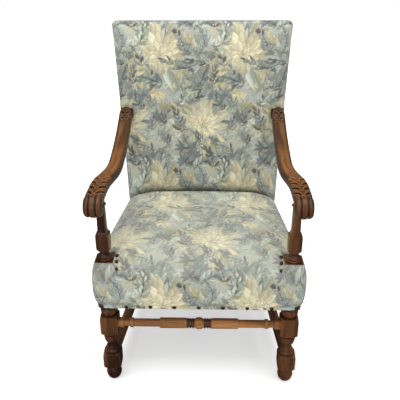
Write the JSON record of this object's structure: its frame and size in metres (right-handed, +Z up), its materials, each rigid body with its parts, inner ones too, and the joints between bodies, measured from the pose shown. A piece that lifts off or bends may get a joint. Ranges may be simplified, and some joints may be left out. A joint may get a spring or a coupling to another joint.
{
  "type": "armchair",
  "caption": "High-backed upholstered armchair with turned front legs and stretcher, scrolled carved wooden arms and a sprung seat and padded back in figured cloth.",
  "frame": {"origin": "On the floor, under the middle of the chair's bounding box.", "axes": "+Z is up, +X is the viewer's right facing the chair, and the chair faces -Y."},
  "size_m": [0.6636, 0.6903, 1.0718],
  "materials": {
    "frame_wood": "waxed",
    "arm_wood": "waxed, worn on the carving",
    "stretcher_wood": "waxed, worn",
    "inner_wood": "planed, unfinished",
    "cover_cloth": "figured weave",
    "stuffing": "loose fibre",
    "webbing": "coarse weave",
    "canvas": "coarse weave",
    "dust_cloth": "thin weave",
    "spring_steel": "drawn wire",
    "screw_steel": "bright",
    "nail_bronze": "darkened"
  },
  "bodies": {
    "root": {"front_post_left": "frame_wood", "front_post_right": "frame_wood", "rear_post_left": "frame_wood", "rear_post_right": "frame_wood", "side_stretcher_left": "frame_wood", "side_stretcher_right": "frame_wood", "rear_stretcher": "frame_wood", "arm_pegs": "frame_wood", "arm_left": "arm_wood", "arm_right": "arm_wood", "front_stretcher": "stretcher_wood", "seat_rail_front": "inner_wood", "seat_rail_rear": "inner_wood", "seat_rail_left": "inner_wood", "seat_rail_right": "inner_wood", "back_rail_top": "inner_wood", "back_rail_bottom": "inner_wood", "corner_block_front_left": "inner_wood", "corner_block_front_right": "inner_wood", "corner_block_rear_left": "inner_wood", "corner_block_rear_right": "inner_wood", "frame_pegs": "inner_wood", "seat_cover": "cover_cloth", "seat_cover_rear": "cover_cloth", "back_cover": "cover_cloth", "back_outside_panel": "cover_cloth", "seat_stuffing": "stuffing", "back_stuffing": "stuffing", "seat_webbing_lengthwise": "webbing", "seat_webbing_crosswise": "webbing", "back_webbing_upright": "webbing", "back_webbing_crosswise": "webbing", "seat_canvas": "canvas", "back_canvas": "canvas", "seat_dust_cover": "dust_cloth", "seat_springs": "spring_steel", "arm_screws": "screw_steel", "corner_block_screws": "screw_steel", "seat_nails": "nail_bronze", "post_nails": "nail_bronze", "back_nails": "nail_bronze"}
  },
  "joints": []
}
